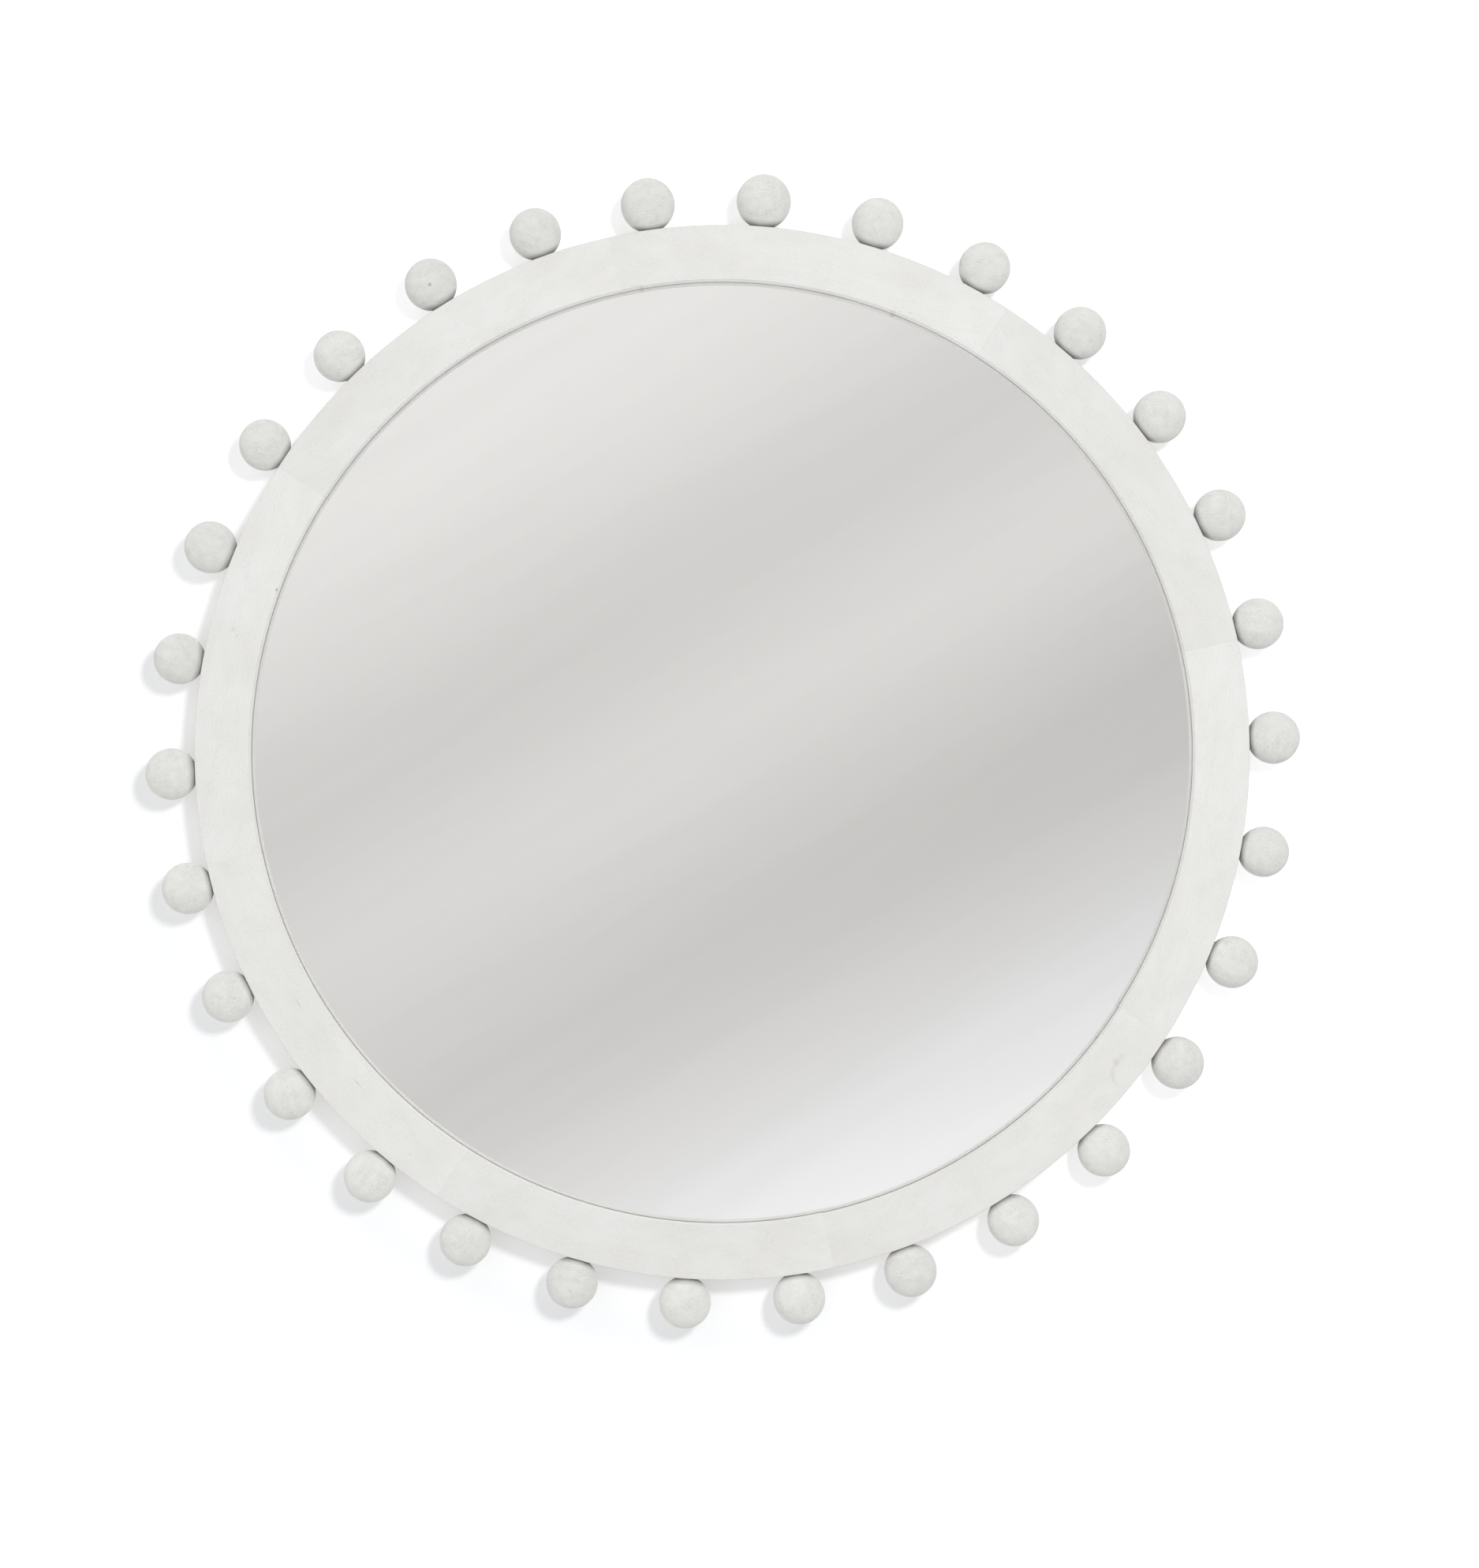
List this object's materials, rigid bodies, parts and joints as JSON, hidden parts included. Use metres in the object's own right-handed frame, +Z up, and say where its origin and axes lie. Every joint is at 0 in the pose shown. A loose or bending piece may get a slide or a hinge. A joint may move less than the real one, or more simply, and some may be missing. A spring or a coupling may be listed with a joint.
{
  "type": "round wall mirror",
  "caption": "Round wall mirror in a flat ring of limed wood segments, with turned wooden balls spaced round its rim, hung on two D-rings.",
  "frame": {"origin": "centre of the mirror, on the wall plane that its bumpers rest on", "axes": "+Y towards the wall, so the mirror faces -Y; +Z up as it hangs; +X to the right seen from the front"},
  "size_m": [1.1144, 0.053, 1.1123],
  "materials": {
    "limed_ring_wood": "limed, matt",
    "limed_ball_wood": "turned and limed, matt",
    "beech": "planed",
    "silvered_glass": "polished",
    "foam": "closed cell foam",
    "panel_board": "smooth fibreboard",
    "bumper_rubber": "moulded",
    "zinc_plated_steel": "zinc plated"
  },
  "bodies": {
    "mirror": {"frame_segment_1": "limed_ring_wood", "frame_segment_2": "limed_ring_wood", "frame_segment_3": "limed_ring_wood", "frame_segment_4": "limed_ring_wood", "frame_segment_5": "limed_ring_wood", "frame_segment_6": "limed_ring_wood", "frame_segment_7": "limed_ring_wood", "frame_segment_8": "limed_ring_wood", "ball_01": "limed_ball_wood", "ball_02": "limed_ball_wood", "ball_03": "limed_ball_wood", "ball_04": "limed_ball_wood", "ball_05": "limed_ball_wood", "ball_06": "limed_ball_wood", "ball_07": "limed_ball_wood", "ball_08": "limed_ball_wood", "ball_09": "limed_ball_wood", "ball_10": "limed_ball_wood", "ball_11": "limed_ball_wood", "ball_12": "limed_ball_wood", "ball_13": "limed_ball_wood", "ball_14": "limed_ball_wood", "ball_15": "limed_ball_wood", "ball_16": "limed_ball_wood", "ball_17": "limed_ball_wood", "ball_18": "limed_ball_wood", "ball_19": "limed_ball_wood", "ball_20": "limed_ball_wood", "ball_21": "limed_ball_wood", "ball_22": "limed_ball_wood", "ball_23": "limed_ball_wood", "ball_24": "limed_ball_wood", "ball_25": "limed_ball_wood", "ball_26": "limed_ball_wood", "ball_27": "limed_ball_wood", "ball_28": "limed_ball_wood", "ball_29": "limed_ball_wood", "ball_30": "limed_ball_wood", "segment_tenons": "beech", "ball_dowels": "beech", "mirror_glass": "silvered_glass", "foam_pads": "foam", "back_panel": "panel_board", "wall_bumper_1": "bumper_rubber", "wall_bumper_2": "bumper_rubber", "wall_bumper_3": "bumper_rubber", "wall_bumper_4": "bumper_rubber", "panel_screws": "zinc_plated_steel", "bumper_screws": "zinc_plated_steel", "hanger_screws": "zinc_plated_steel", "left_hanger_strap": "zinc_plated_steel", "right_hanger_strap": "zinc_plated_steel"},
    "left_ring": {"left_hanger_ring": "zinc_plated_steel"},
    "right_ring": {"right_hanger_ring": "zinc_plated_steel"}
  },
  "joints": [
    {"name": "left_ring_swing", "type": "hinge", "parent": "mirror", "child": "left_ring", "pos_m": [-0.42835, -0.00515, 0.23826], "axis": [-1, 0, 0], "range_deg": [0, 170]},
    {"name": "right_ring_swing", "type": "hinge", "parent": "mirror", "child": "right_ring", "pos_m": [0.42835, -0.00515, 0.23826], "axis": [-1, 0, 0], "range_deg": [0, 170]}
  ]
}
